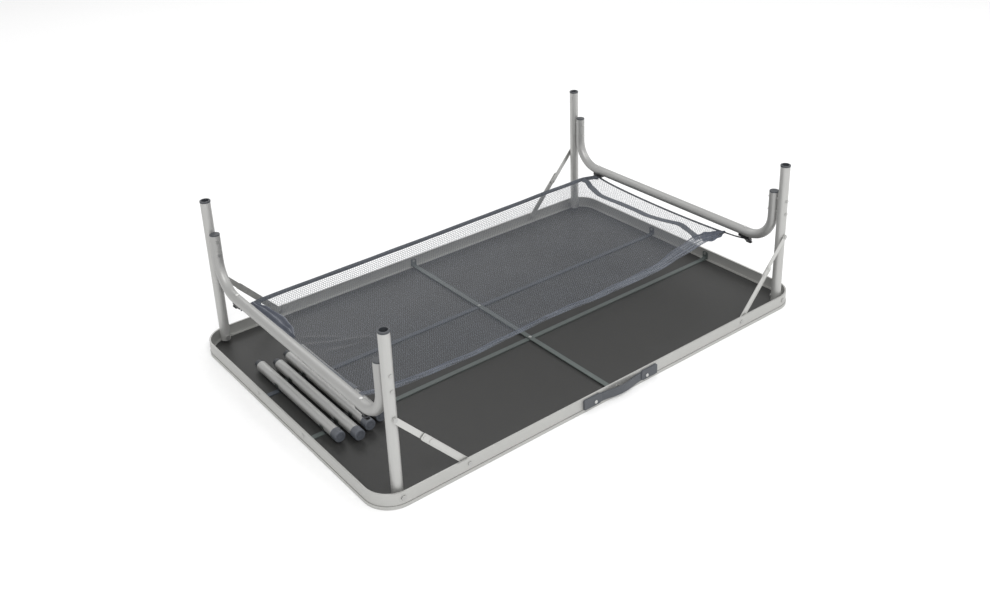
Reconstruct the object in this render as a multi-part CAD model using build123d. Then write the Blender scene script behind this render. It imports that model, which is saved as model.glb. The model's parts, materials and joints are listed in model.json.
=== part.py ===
from build123d import *
import math
import os

# Camp kitchen table, face down with its leg frames unfolded. Millimetres, +Z up.
# Origin: centre of the table face, which lies on the ground at z = 0.
# +X runs along the length, -Y is the long side that carries the handle.

LENGTH = 1200.0
WIDTH = 780.0
CORNER_R = 60.0
RIM_H = 34.0
LIP_H = 7.2
GROOVE_TOP = 8.5
WALL_OUT = 1.2
WALL_IN = 3.2
CURL_IN = 4.8
LEDGE_IN = 9.0
LEDGE_TOP = 7.0
PANEL_INSET = 4.2
PANEL_TOP = 5.5
SURFACE_T = 1.0

TUBE_R = 11.5
TUBE_BORE_R = 10.0
LEG_X = 549.0
LEG_Y = 366.5
LEG_TOP = 366.0
LEG_BOTTOM = 13.5
PIVOT_Z = 21.0
PIVOT_PIN_R = 3.0
RUN_GAP = 0.05
COLLAR_R = 12.1
COLLAR_TOP = 370.0
SOCKET_R = 8.5
SOCKET_LEN = 50.0

ARM_Y = 340.0
ARM_TOP = 294.0
CROSS_Z = 162.0
BEND_R = 68.0
JOIN_RIVET_Z = (280.0, 247.0)

BRACE_LEG_Z = 188.0
BRACE_RIM_X = 397.0
BRACE_RIM_Z = 21.0
UPPER_Y0 = 379.6
UPPER_Y1 = 381.2
LOWER_Y0 = 382.6
LOWER_Y1 = 383.6
UPPER_W = 12.0
LOWER_W = 14.5
LOWER_OVERLAP = 27.0
FLANGE_H = 1.35
DETENT_GAP = 20.0

BAR_W = 12.0
BAR_T = 2.2
LONG_BAR_Y = 98.0
CROSS_BAR_X = -6.0
TAB_TOP = 27.6
TAB_W = 16.0

EXT_Z = 21.2
EXT_LEN = 344.0
EXT_CAP_LEN = 20.0
EXT_CAP_R = 12.1
SPIGOT_R = 8.35
SPIGOT_LEN = 16.0
EXT_FIRST_X = -544.5
EXT_PITCH = 33.6
EXT_STAGGER = (-152.0, -173.5, -158.0, -147.0)

HOOK_Y = 262.0
HOOK_POST_Y = 274.0
CORD_Z = 142.0
CORD_R = 1.3

NET_X = 540.0
NET_FAR_Y = 257.0
NET_NEAR_Y = -212.0
NET_FLOOR_Z = 120.0
NET_T = 0.8

HANDLE_X = 3.2
HANDLE_HALF = 107.3
PAD_LEN = 48.5
PAD_T = 5.4
HANDLE_RIVET_X = 75.5
HANDLE_RIVET_Z = 16.0
HANDLE_Z0 = 7.4
HANDLE_Z1 = 30.6
HANDLE_BOW = 8.0
GRIP_Z0 = 8.4
GRIP_H = 19.4
GRIP_T = 3.2
GRIP_HALF = 95.0

os.makedirs("parts", exist_ok=True)


def save(shape, name):
    shape.label = name
    export_step(shape, "parts/" + name + ".step")


def group(solids):
    return Compound(children=list(solids))


def slab(inset, z0, z1):
    radius = CORNER_R - inset
    outline = RectangleRounded(LENGTH - 2 * inset, WIDTH - 2 * inset, radius)
    return Pos(0, 0, z0) * extrude(outline, z1 - z0)


def ring(outer, inner, z0, z1):
    return slab(outer, z0, z1) - slab(inner, z0 - 1, z1 + 1)


def box(x0, x1, y0, y1, z0, z1):
    centre = Pos((x0 + x1) / 2, (y0 + y1) / 2, (z0 + z1) / 2)
    return centre * Box(abs(x1 - x0), abs(y1 - y0), abs(z1 - z0))


def rod_x(x0, x1, y, z, r):
    turn = Rot(0, 90, 0)
    return Pos((x0 + x1) / 2, y, z) * turn * Cylinder(r, abs(x1 - x0))


def rod_y(x, y0, y1, z, r):
    turn = Rot(90, 0, 0)
    return Pos(x, (y0 + y1) / 2, z) * turn * Cylinder(r, abs(y1 - y0))


def rod_z(x, y, z0, z1, r):
    return Pos(x, y, (z0 + z1) / 2) * Cylinder(r, abs(z1 - z0))


# ---------------------------------------------------------------- fasteners on the rim

def pivot_pin(sx, sy):
    x = sx * LEG_X
    outer = WIDTH / 2 - WALL_OUT
    pin = rod_y(x, sy * (outer + 0.7), sy * 354.0, PIVOT_Z, PIVOT_PIN_R)
    head_out = rod_y(x, sy * (outer - 0.9), sy * (outer + 1.4), PIVOT_Z, 5.5)
    spacer = rod_y(x, sy * 378.25, sy * (WIDTH / 2 - WALL_IN + 0.2), PIVOT_Z, 6.0)
    head_in = rod_y(x, sy * 354.8, sy * 353.0, PIVOT_Z, 5.5)
    return pin + head_out + spacer + head_in


def brace_rim_pin(sx, sy):
    x = sx * BRACE_RIM_X
    outer = WIDTH / 2 - WALL_OUT
    pin = rod_y(x, sy * (outer + 0.7), sy * 382.0, BRACE_RIM_Z, 2.5)
    head_out = rod_y(x, sy * (outer - 0.2), sy * (outer + 1.4), BRACE_RIM_Z, 5.0)
    spacer = rod_y(x, sy * (LOWER_Y1 + 0.15), sy * (WIDTH / 2 - WALL_IN), BRACE_RIM_Z, 5.0)
    head_in = rod_y(x, sy * (LOWER_Y0 - 0.15), sy * 381.5, BRACE_RIM_Z, 4.5)
    return pin + head_out + spacer + head_in


def tab_rivet_x(sx, y):
    outer = LENGTH / 2 - WALL_OUT
    shank = rod_x(sx * 593.9, sx * (outer + 0.5), y, 22.0, 2.0)
    head_out = rod_x(sx * outer, sx * (outer + 1.3), y, 22.0, 4.0)
    head_in = rod_x(sx * 594.7, sx * 593.4, y, 22.0, 3.6)
    return shank + head_out + head_in


def tab_rivet_y(sy):
    outer = WIDTH / 2 - WALL_OUT
    shank = rod_y(CROSS_BAR_X, sy * 383.9, sy * (outer + 0.5), 22.0, 2.0)
    head_out = rod_y(CROSS_BAR_X, sy * outer, sy * (outer + 1.3), 22.0, 4.0)
    head_in = rod_y(CROSS_BAR_X, sy * 384.7, sy * 383.4, 22.0, 3.6)
    return shank + head_out + head_in


def handle_rivet(sx):
    x = HANDLE_X + sx * HANDLE_RIVET_X
    z = HANDLE_RIVET_Z
    y_face = -(WIDTH / 2 - WALL_OUT) - PAD_T
    shank = rod_y(x, y_face - 0.5, -385.0, z, 2.2)
    dome = rod_y(x, y_face - 1.6, y_face, z, 4.0)
    dome = fillet(dome.edges().sort_by(Axis.Y)[0], 1.2)
    back = rod_y(x, -386.8, -385.4, z, 3.6)
    return shank + dome + back


# ---------------------------------------------------------------- table top

def make_surface():
    return slab(PANEL_INSET, 0.0, SURFACE_T)


def make_board():
    return slab(PANEL_INSET, SURFACE_T, PANEL_TOP)


def make_rim(pins):
    lip = ring(0.0, PANEL_INSET, 0.0, LIP_H)
    neck = ring(2.0, WALL_IN, LIP_H, GROOVE_TOP)
    wall = ring(WALL_OUT, WALL_IN, GROOVE_TOP, RIM_H)
    root = ring(WALL_OUT + 0.8, WALL_IN, LIP_H - 0.5, GROOVE_TOP + 1.0)
    curl = ring(WALL_OUT, CURL_IN, RIM_H - 1.8, RIM_H)
    ledge = ring(WALL_IN - 0.5, LEDGE_IN, PANEL_TOP, LEDGE_TOP)
    rim = lip + neck + root + wall + curl + ledge
    for pin in pins:
        rim = rim - pin
    return rim


def long_bar(y, rivets):
    flat = box(-590.8, 590.8, y - BAR_W / 2, y + BAR_W / 2, PANEL_TOP, PANEL_TOP + BAR_T)
    bar = flat
    for sx in (-1, 1):
        foot = box(sx * 580, sx * 596.7, y - BAR_W / 2, y + BAR_W / 2, 7.2, 9.4)
        tab = box(sx * 594.7, sx * 596.7, y - TAB_W / 2, y + TAB_W / 2, 7.2, TAB_TOP)
        tab = fillet(tab.edges().filter_by(Axis.X).sort_by(Axis.Z)[-2:], 5.0)
        bar = bar + foot + tab
    for rivet in rivets:
        bar = bar - rivet
    return bar


def cross_bar(rivets):
    z0 = PANEL_TOP + BAR_T
    x0 = CROSS_BAR_X - BAR_W / 2
    x1 = CROSS_BAR_X + BAR_W / 2
    bar = box(x0, x1, -386.7, 386.7, z0, z0 + BAR_T)
    for sy in (-1, 1):
        mid = CROSS_BAR_X
        tab = box(mid - TAB_W / 2, mid + TAB_W / 2, sy * 384.7, sy * 386.7, z0, TAB_TOP)
        tab = fillet(tab.edges().filter_by(Axis.Y).sort_by(Axis.Z)[-2:], 5.0)
        bar = bar + tab
    for rivet in rivets:
        bar = bar - rivet
    return bar


def bar_crossing_rivet(y):
    z0 = PANEL_TOP + 0.4
    z1 = PANEL_TOP + 2 * BAR_T
    shank = rod_z(CROSS_BAR_X, y, z0, z1 + 0.4, 2.0)
    head = rod_z(CROSS_BAR_X, y, z1, z1 + 1.0, 3.8)
    return shank + head


# ---------------------------------------------------------------- carrying handle

def strap_curve(offset):
    points = []
    for i in range(-8, 9):
        x = i * 8.0
        bow = HANDLE_BOW * (0.5 + 0.5 * math.cos(math.pi * x / 64.0))
        points.append((x, -(WIDTH / 2 - WALL_OUT) - 0.3 - offset - bow))
    return points


def make_grip():
    inner = strap_curve(0.0)
    outer = strap_curve(GRIP_T)
    x_end = GRIP_HALF
    y_in = inner[0][1]
    y_out = outer[0][1]
    edges = Curve() + [
        Line((-x_end, y_in), inner[0]),
        Spline(*inner, tangents=((1, 0), (1, 0))),
        Line(inner[-1], (x_end, y_in)),
        Line((x_end, y_in), (x_end, y_out)),
        Line((x_end, y_out), outer[-1]),
        Spline(*reversed(outer), tangents=((-1, 0), (-1, 0))),
        Line(outer[0], (-x_end, y_out)),
        Line((-x_end, y_out), (-x_end, y_in)),
    ]
    return Pos(HANDLE_X, 0, GRIP_Z0) * extrude(make_face(edges.edges()), GRIP_H)


def make_pad(sx):
    y0 = -(WIDTH / 2 - WALL_OUT)
    x0 = sx * HANDLE_HALF
    x1 = sx * (HANDLE_HALF - PAD_LEN)
    pad = box(x0, x1, y0, y0 - PAD_T, HANDLE_Z0, HANDLE_Z1)
    corner = pad.edges().filter_by(Axis.Y).sort_by(Axis.X)
    inner = corner[-2:] if sx < 0 else corner[:2]
    pad = fillet(inner, 7.0)
    corner = pad.edges().filter_by(Axis.Y).sort_by(Axis.X)
    outer = corner[:2] if sx < 0 else corner[-2:]
    pad = fillet(outer, 2.5)
    face = pad.faces().sort_by(Axis.Y)[0]
    pad = fillet(face.edges(), 1.0)
    slot_x = GRIP_HALF + 0.2
    slot_y = y0 - GRIP_T - 0.9
    slot = box(sx * slot_x, sx * 55.0, y0 - 0.2, slot_y, GRIP_Z0 - 0.2, GRIP_Z0 + GRIP_H + 0.2)
    return Pos(HANDLE_X, 0, 0) * (pad - slot)


# ---------------------------------------------------------------- leg frames

def leg_pivot_hole(sx, sy):
    return rod_y(sx * LEG_X, sy * 350.0, sy * 382.0, PIVOT_Z, PIVOT_PIN_R + RUN_GAP)


def join_rivet(sx, sy, z):
    x = sx * LEG_X
    shank = rod_y(x, sy * 378.3, sy * 328.2, z, 2.4)
    head_out = rod_y(x, sy * 377.2, sy * 379.3, z, 4.2)
    head_in = rod_y(x, sy * 329.3, sy * 327.2, z, 4.2)
    sleeve = rod_y(x, sy * 351.2, sy * 355.3, z, 4.2)
    return shank + head_out + head_in + sleeve


def brace_leg_pin(sx, sy):
    x = sx * LEG_X
    shank = rod_y(x, sy * 376.0, sy * 382.0, BRACE_LEG_Z, 2.5)
    spacer = rod_y(x, sy * 376.6, sy * (UPPER_Y0 - 0.1), BRACE_LEG_Z, 5.0)
    head = rod_y(x, sy * (UPPER_Y1 + 0.1), sy * 382.25, BRACE_LEG_Z, 5.0)
    return shank + spacer + head


def hook_screw(sx, sy):
    shank = rod_z(sx * LEG_X, sy * HOOK_Y, 147.5, 173.4, 1.8)
    head = rod_z(sx * LEG_X, sy * HOOK_Y, 172.9, 174.9, 4.0)
    head = fillet(head.edges().sort_by(Axis.Z)[-1], 0.9)
    return shank + head


def net_hook(sx, sy):
    x = sx * LEG_X
    base = box(x - 6, x + 6, sy * 246, sy * 279, 145.6, 151.6)
    base = base - rod_y(x, sy * 240, sy * 285, CROSS_Z, TUBE_R)
    post = box(x - 2.6, x + 2.6, sy * 271.5, sy * 276.5, 138.4, 147.0)
    foot = box(x - 4.5, x + 4.5, sy * 269.0, sy * 283.5, 137.0, 139.2)
    foot = fillet(foot.edges().filter_by(Axis.Z), 2.0)
    hook = base + post + foot
    return hook - hook_screw(sx, sy)


def make_leg(sx, sy, cuts):
    x = sx * LEG_X
    y = sy * LEG_Y
    tube = rod_z(x, y, LEG_BOTTOM, LEG_TOP, TUBE_R)
    tube = tube - rod_z(x, y, LEG_BOTTOM - 1, LEG_TOP + 1, TUBE_BORE_R)
    tube = tube - leg_pivot_hole(sx, sy)
    for cut in cuts:
        tube = tube - cut
    return tube


def make_collar(sx, sy):
    x = sx * LEG_X
    y = sy * LEG_Y
    flange = rod_z(x, y, LEG_TOP, COLLAR_TOP, COLLAR_R)
    flange = fillet(flange.edges().sort_by(Axis.Z)[-1], 1.2)
    sleeve = rod_z(x, y, COLLAR_TOP - SOCKET_LEN, LEG_TOP + 1, TUBE_BORE_R - 0.02)
    bore = rod_z(x, y, COLLAR_TOP - SOCKET_LEN - 1, COLLAR_TOP + 1, SOCKET_R)
    return flange + sleeve - bore


def make_leg_plug(sx, sy):
    x = sx * LEG_X
    y = sy * LEG_Y
    flange = rod_z(x, y, LEG_BOTTOM - 1.5, LEG_BOTTOM, TUBE_R)
    flange = fillet(flange.edges().sort_by(Axis.Z)[0], 1.0)
    stem = rod_z(x, y, LEG_BOTTOM - 0.5, LEG_BOTTOM + 20, TUBE_BORE_R - 0.02)
    return flange + stem - leg_pivot_hole(sx, sy)


def u_path(sx):
    x = sx * LEG_X
    low = CROSS_Z + BEND_R
    side = ARM_Y - BEND_R
    mid = BEND_R * math.sqrt(0.5)
    arm_a = Line((x, -ARM_Y, ARM_TOP), (x, -ARM_Y, low))
    bend_a = ThreePointArc((x, -ARM_Y, low), (x, -side - mid, low - mid), (x, -side, CROSS_Z))
    cross = Line((x, -side, CROSS_Z), (x, side, CROSS_Z))
    bend_b = ThreePointArc((x, side, CROSS_Z), (x, side + mid, low - mid), (x, ARM_Y, low))
    arm_b = Line((x, ARM_Y, low), (x, ARM_Y, ARM_TOP))
    return Wire([e for piece in (arm_a, bend_a, cross, bend_b, arm_b) for e in piece.edges()])


def make_u_tube(sx, cuts):
    path = u_path(sx)
    plane = Plane(origin=(sx * LEG_X, -ARM_Y, ARM_TOP), z_dir=(0, 0, -1))
    tube = sweep(plane * Circle(TUBE_R), path=path)
    tube = tube - sweep(plane * Circle(TUBE_BORE_R), path=path)
    for cut in cuts:
        tube = tube - cut
    return tube


def make_arm_plug(sx, sy):
    x = sx * LEG_X
    y = sy * ARM_Y
    flange = rod_z(x, y, ARM_TOP, ARM_TOP + 2.6, TUBE_R + 0.1)
    flange = fillet(flange.edges().sort_by(Axis.Z)[-1], 1.4)
    stem = rod_z(x, y, ARM_TOP - 9.0, ARM_TOP + 0.5, TUBE_BORE_R - 0.02)
    return flange + stem - join_rivet(sx, sy, JOIN_RIVET_Z[0])


# ---------------------------------------------------------------- folding braces

def brace_lengths():
    rise = BRACE_LEG_Z - BRACE_RIM_Z
    run = LEG_X - BRACE_RIM_X
    closed = abs(run - (BRACE_LEG_Z - PIVOT_Z))
    whole = math.hypot(rise, run)
    return (whole + closed) / 2, (whole - closed) / 2, math.degrees(math.atan2(rise, run))


def link_bar(length_a, length_b, width, thick):
    body = Pos((length_b - length_a) / 2, 0, 0) * Box(length_a + length_b, thick, width)
    end_a = Pos(-length_a, 0, 0) * Rot(90, 0, 0) * Cylinder(width / 2, thick)
    end_b = Pos(length_b, 0, 0) * Rot(90, 0, 0) * Cylinder(width / 2, thick)
    return body, end_a, end_b


def place_link(solid, sx, sy, x, y_mid, z, angle):
    turned = Pos(x, y_mid, z) * Rot(0, -angle, 0) * solid
    if sx < 0:
        turned = mirror(turned, about=Plane.YZ)
    if sy < 0:
        turned = mirror(turned, about=Plane.XZ)
    return turned


def make_lower_link(sx, sy):
    long_len, short_len, angle = brace_lengths()
    thick = LOWER_Y1 - LOWER_Y0
    reach = long_len + LOWER_OVERLAP
    body, end_a, end_b = link_bar(0.0, reach, LOWER_W, thick)
    link = body + end_a
    link = fillet(link.edges().filter_by(Axis.Y).sort_by(Axis.X)[-2:], 4.0)
    rib = Pos((long_len - 30) / 2 + 20, -thick / 2 - 0.25, 0) * Box(long_len - 50, 0.5, 5.0)
    hole = Rot(90, 0, 0) * Cylinder(2.5 + RUN_GAP, 10)
    head = Pos(long_len, thick / 2 + 0.6, 0) * Rot(90, 0, 0) * Cylinder(4.0, 1.2)
    boss = Pos(long_len, -thick / 2 - 0.5, 0) * Rot(90, 0, 0) * Cylinder(4.0, 1.0)
    detent = Pos(long_len + DETENT_GAP, thick / 2 + 0.4, 0) * Rot(90, 0, 0) * Cylinder(2.8, 0.8)
    link = link + rib + head + boss + detent - hole
    for edge in (-1, 1):
        flange = Box(reach - 9.0, FLANGE_H, 1.0)
        link = link + Pos(reach / 2, (thick + FLANGE_H) / 2, edge * (LOWER_W / 2 - 0.5)) * flange
    y_mid = (LOWER_Y0 + LOWER_Y1) / 2
    return place_link(link, sx, sy, BRACE_RIM_X, y_mid, BRACE_RIM_Z, angle)


def make_upper_link(sx, sy):
    long_len, short_len, angle = brace_lengths()
    thick = UPPER_Y1 - UPPER_Y0
    body, end_a, end_b = link_bar(short_len, 0.0, UPPER_W, thick)
    link = body + end_a + end_b
    hole_a = Rot(90, 0, 0) * Cylinder(2.5 + RUN_GAP, 10)
    hole_c = Pos(-short_len, 0, 0) * Rot(90, 0, 0) * Cylinder(2.5 + RUN_GAP, 10)
    link = link - hole_a - hole_c
    y_mid = (UPPER_Y0 + UPPER_Y1) / 2
    return place_link(link, sx, sy, LEG_X, y_mid, BRACE_LEG_Z, angle)


# ---------------------------------------------------------------- extension legs and clips

def ext_x(i):
    return EXT_FIRST_X + i * EXT_PITCH


def make_ext_tube(i):
    y0 = EXT_STAGGER[i] + 3.0
    y1 = EXT_STAGGER[i] + EXT_LEN
    tube = rod_y(ext_x(i), y0, y1, EXT_Z, TUBE_R)
    return tube - rod_y(ext_x(i), y0 - 1, y1 + 1, EXT_Z, TUBE_BORE_R)


def make_ext_cap(i):
    y0 = EXT_STAGGER[i]
    x = ext_x(i)
    cap = rod_y(x, y0, y0 + EXT_CAP_LEN, EXT_Z, EXT_CAP_R)
    cap = fillet(cap.edges().sort_by(Axis.Y)[0], 1.6)
    cap = cap - rod_y(x, y0 + 3.0, y0 + EXT_CAP_LEN + 1, EXT_Z, TUBE_R)
    stem = rod_y(x, y0 + 2.0, y0 + 16.0, EXT_Z, TUBE_BORE_R - 0.02)
    groove = rod_y(x, y0 - 1, y0 + 0.8, EXT_Z, 7.5) - rod_y(x, y0 - 1, y0 + 0.8, EXT_Z, 6.0)
    return cap + stem - groove


def make_spigot(i):
    y1 = EXT_STAGGER[i] + EXT_LEN
    x = ext_x(i)
    plug = rod_y(x, y1 - 22.0, y1 + 0.2, EXT_Z, TUBE_BORE_R - 0.02)
    collar = rod_y(x, y1, y1 + 1.6, EXT_Z, TUBE_R)
    stub = rod_y(x, y1, y1 + SPIGOT_LEN, EXT_Z, SPIGOT_R)
    stub = fillet(stub.edges().sort_by(Axis.Y)[-1], 1.5)
    return plug + collar + stub


def make_clip(i, y):
    x = ext_x(i)
    inner = TUBE_R + 0.12
    outer = inner + 0.9
    hoop = rod_y(x, y - 6.5, y + 6.5, EXT_Z, outer)
    hoop = hoop - rod_y(x, y - 8, y + 8, EXT_Z, inner)
    hoop = hoop - box(x - 20, x + 20, y - 9, y + 9, EXT_Z, EXT_Z + 20)
    base = box(x - 9, x + 9, y - 6.5, y + 6.5, PANEL_TOP + BAR_T, EXT_Z - inner - 0.1)
    base = base - rod_y(x, y - 8, y + 8, EXT_Z, inner)
    clip = hoop + base
    for side in (-1, 1):
        lip = Polyline(
            (x + side * inner, EXT_Z - 0.2),
            (x + side * outer, EXT_Z - 0.2),
            (x + side * outer, EXT_Z + 2.0),
            (x + side * (outer + 1.2), EXT_Z + 5.4),
            (x + side * (outer + 0.3), EXT_Z + 5.8),
            (x + side * inner, EXT_Z + 2.2),
            close=True,
        )
        face = make_face(lip.edges())
        wing = Pos(0, y + 6.5, 0) * Rot(90, 0, 0) * extrude(face, 13.0)
        clip = clip + wing
    return clip


# ---------------------------------------------------------------- storage net

def net_section():
    t = NET_T
    lower = [
        (NET_FAR_Y, 141.0),
        (NET_FAR_Y - 9.0, NET_FLOOR_Z + 2.0),
        (20.0, NET_FLOOR_Z),
        (NET_NEAR_Y + 8.0, NET_FLOOR_Z),
        (NET_NEAR_Y, NET_FLOOR_Z + 9.0),
    ]
    upper = [
        (NET_NEAR_Y + t, NET_FLOOR_Z + 9.0),
        (NET_NEAR_Y + 8.0 + t / 2, NET_FLOOR_Z + t),
        (20.0, NET_FLOOR_Z + t),
        (NET_FAR_Y - 9.0 - t / 2, NET_FLOOR_Z + 2.0 + t),
        (NET_FAR_Y - t, 141.0),
    ]
    return lower + upper


def make_net_half(sx):
    points = [(0.0, y, z) for y, z in net_section()]
    outline = Polyline(*points, close=True)
    face = make_face(outline.edges())
    half = extrude(face, amount=NET_X, dir=(sx, 0, 0))
    end = box(sx * NET_X, sx * (NET_X + NET_T), NET_NEAR_Y + 2, NET_FAR_Y - 2, NET_FLOOR_Z + 2.4, 139.0)
    return half + end


def make_net_hems(sx):
    far = box(0, sx * NET_X, NET_FAR_Y + 0.2, NET_FAR_Y + 1.6, 137.0, 145.0)
    near = box(0, sx * NET_X, NET_NEAR_Y - 1.6, NET_NEAR_Y - 0.2, NET_FLOOR_Z + 4, NET_FLOOR_Z + 12)
    end = box(sx * (NET_X + 1.2), sx * (NET_X + 7.0), NET_NEAR_Y + 4, NET_FAR_Y - 4, 140.0, 144.0)
    return group([far, near, end])


def make_net_cord(sx):
    x = sx * LEG_X
    ring_r = 6.2
    reach = HOOK_POST_Y - ring_r
    cord = rod_y(x, -reach, reach, CORD_Z, CORD_R)
    for sy in (-1, 1):
        cord = cord + Pos(x, sy * HOOK_POST_Y, CORD_Z) * Torus(ring_r, CORD_R)
    return cord


# ---------------------------------------------------------------- write the parts

SIDES = (-1, 1)
pivot_pins = [pivot_pin(sx, sy) for sx in SIDES for sy in SIDES]
brace_pins = [brace_rim_pin(sx, sy) for sx in SIDES for sy in SIDES]
end_rivets = [tab_rivet_x(sx, sy * LONG_BAR_Y) for sx in SIDES for sy in SIDES]
side_rivets = [tab_rivet_y(sy) for sy in SIDES]
handle_rivets = [handle_rivet(sx) for sx in SIDES]
crossing = [bar_crossing_rivet(sy * LONG_BAR_Y) for sy in SIDES]

save(make_surface(), "table_surface")
save(make_board(), "panel_board")
save(make_rim(pivot_pins + brace_pins + end_rivets + side_rivets + handle_rivets), "rim_frame")
save(long_bar(-LONG_BAR_Y, end_rivets + crossing), "long_bar_near")
save(long_bar(LONG_BAR_Y, end_rivets + crossing), "long_bar_far")
save(cross_bar(side_rivets + crossing), "cross_bar")
save(group(end_rivets + side_rivets + crossing), "bar_rivets")
save(group(pivot_pins), "leg_pivot_pins")
save(group(brace_pins), "brace_rim_pins")
save(group([make_clip(i, -LONG_BAR_Y) for i in range(4)]), "tube_clips_near")
save(group([make_clip(i, LONG_BAR_Y) for i in range(4)]), "tube_clips_far")

grip = make_grip()
for rivet in handle_rivets:
    grip = grip - rivet
pads = [make_pad(sx) for sx in SIDES]
pads = [pads[0] - handle_rivets[0], pads[1] - handle_rivets[1]]
save(grip, "handle_grip")
save(group(pads), "handle_pads")
save(group(handle_rivets), "handle_rivets")

for sx, side in ((-1, "left"), (1, "right")):
    joins = [join_rivet(sx, sy, z) for sy in SIDES for z in JOIN_RIVET_Z]
    leg_pins = [brace_leg_pin(sx, sy) for sy in SIDES]
    screws = [hook_screw(sx, sy) for sy in SIDES]
    save(make_leg(sx, -1, joins[:2] + leg_pins[:1]), side + "_leg_tube_near")
    save(make_leg(sx, 1, joins[2:] + leg_pins[1:]), side + "_leg_tube_far")
    save(make_u_tube(sx, joins + screws), side + "_u_tube")
    save(group([make_collar(sx, sy) for sy in SIDES]), side + "_leg_collars")
    save(group([make_leg_plug(sx, sy) for sy in SIDES]), side + "_leg_plugs")
    save(group([make_arm_plug(sx, sy) for sy in SIDES]), side + "_arm_plugs")
    save(group(joins), side + "_join_rivets")
    save(group(leg_pins), side + "_brace_leg_pins")
    save(group(screws), side + "_hook_screws")
    save(group([net_hook(sx, sy) for sy in SIDES]), side + "_net_hooks")
    save(make_net_cord(sx), side + "_net_cord")
    save(make_net_half(sx), side + "_net_mesh")
    save(make_net_hems(sx), side + "_net_hems")
    for sy, place in ((-1, "near"), (1, "far")):
        save(make_lower_link(sx, sy), side + "_" + place + "_lower_link")
        save(make_upper_link(sx, sy), side + "_" + place + "_upper_link")

for i in range(4):
    number = str(i + 1)
    save(make_ext_tube(i), "ext_tube_" + number)
    save(make_ext_cap(i), "ext_cap_" + number)
    save(make_spigot(i), "ext_spigot_" + number)
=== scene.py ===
"""Looks of a folding camp kitchen table, lying on its face with the leg frames up.

Metals, plastics and boards are the CAD nodes with procedural materials. The slung mesh net, its tapes and
its elastic cords are built here, as two halves that meet half-way between the leg frames. The left half (-X)
and the right half (+X) are given one by one, so they differ. Lengths are in metres, or in millimetres times MM.
"""
import json
import math

import bpy
from mathutils import Matrix, Vector, noise


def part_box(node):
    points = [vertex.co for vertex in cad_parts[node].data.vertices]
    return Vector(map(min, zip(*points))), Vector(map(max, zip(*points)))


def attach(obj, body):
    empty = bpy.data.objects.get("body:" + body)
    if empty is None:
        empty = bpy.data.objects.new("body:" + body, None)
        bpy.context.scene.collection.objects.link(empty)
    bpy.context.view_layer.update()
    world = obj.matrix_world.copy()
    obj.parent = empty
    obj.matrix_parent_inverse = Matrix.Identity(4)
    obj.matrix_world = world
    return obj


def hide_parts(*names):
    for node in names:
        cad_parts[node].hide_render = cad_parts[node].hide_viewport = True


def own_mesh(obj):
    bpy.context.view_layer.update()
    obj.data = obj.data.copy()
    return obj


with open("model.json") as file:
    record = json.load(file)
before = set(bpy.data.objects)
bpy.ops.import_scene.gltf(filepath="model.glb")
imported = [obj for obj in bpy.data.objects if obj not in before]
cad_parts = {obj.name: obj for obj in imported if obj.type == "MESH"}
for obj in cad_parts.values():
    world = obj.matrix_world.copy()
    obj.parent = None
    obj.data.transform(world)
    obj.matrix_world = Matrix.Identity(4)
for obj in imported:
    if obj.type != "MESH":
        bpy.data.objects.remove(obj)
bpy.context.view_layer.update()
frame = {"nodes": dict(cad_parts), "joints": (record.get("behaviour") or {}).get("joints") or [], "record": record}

SIDES = (("left", -1), ("right", 1))
MM = 0.001


# ---------------------------------------------------------------- camera and light

CAMERA_AT = (-1.36394, -1.77880, 1.33755)
CAMERA_AZIMUTH = -38.355
CAMERA_ELEVATION = 23.204
CAMERA_ROLL = -1.676
CAMERA_LENS = 39.189
CAMERA_SHIFT = (-0.02133, -0.12233)
SENSOR_WIDTH = 36.0

SKY_STRENGTH = 0.85
LIGHTS_AIM_AT = (0, 0, 0.1)
# Each light: name, place, size of the panel, power in watts.
LIGHTS = (
    ("key", (-1.4, -3.1, 3.4), (2.2, 2.2), 95),
    ("fill", (2.8, -1.4, 2.4), (2.0, 2.0), 30),
    ("back", (0.6, 3.4, 3.0), (3.0, 1.6), 25),
)


def make_camera():
    """Looks down from the front left, turned a little about its own line of sight."""
    turn, tilt, roll = (math.radians(a) for a in (CAMERA_AZIMUTH, CAMERA_ELEVATION, CAMERA_ROLL))
    back = Vector((math.sin(turn) * math.cos(tilt), -math.cos(turn) * math.cos(tilt), math.sin(tilt)))
    level = Vector((math.cos(turn), math.sin(turn), 0))
    upright = back.cross(level)
    right = math.cos(roll) * level + math.sin(roll) * upright
    up = math.cos(roll) * upright - math.sin(roll) * level
    data = bpy.data.cameras.new("camera")
    data.sensor_width = SENSOR_WIDTH
    data.lens = CAMERA_LENS
    data.shift_x, data.shift_y = CAMERA_SHIFT
    camera = bpy.data.objects.new("camera", data)
    bpy.context.scene.collection.objects.link(camera)
    camera.matrix_world = Matrix.Translation(CAMERA_AT) @ Matrix((right, up, back)).transposed().to_4x4()
    bpy.context.scene.camera = camera


def make_light(name, at, size, power):
    data = bpy.data.lights.new(name, "AREA")
    data.shape = "RECTANGLE"
    data.size, data.size_y = size
    data.energy = power
    light = bpy.data.objects.new(name, data)
    bpy.context.scene.collection.objects.link(light)
    light.location = at
    light.rotation_euler = (Vector(LIGHTS_AIM_AT) - Vector(at)).to_track_quat("-Z", "Y").to_euler()


def make_studio():
    """An even white sky with three soft panels."""
    world = bpy.data.worlds.new("studio")
    world.use_nodes = True
    sky = world.node_tree.nodes["Background"]
    sky.inputs["Color"].default_value = (1.0, 1.0, 1.0, 1.0)
    sky.inputs["Strength"].default_value = SKY_STRENGTH
    bpy.context.scene.world = world
    for light in LIGHTS:
        make_light(*light)
    bpy.context.scene.view_settings.view_transform = "Standard"


# ---------------------------------------------------------------- node helpers

CLOUD_ROUGHNESS = 0.55


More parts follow.
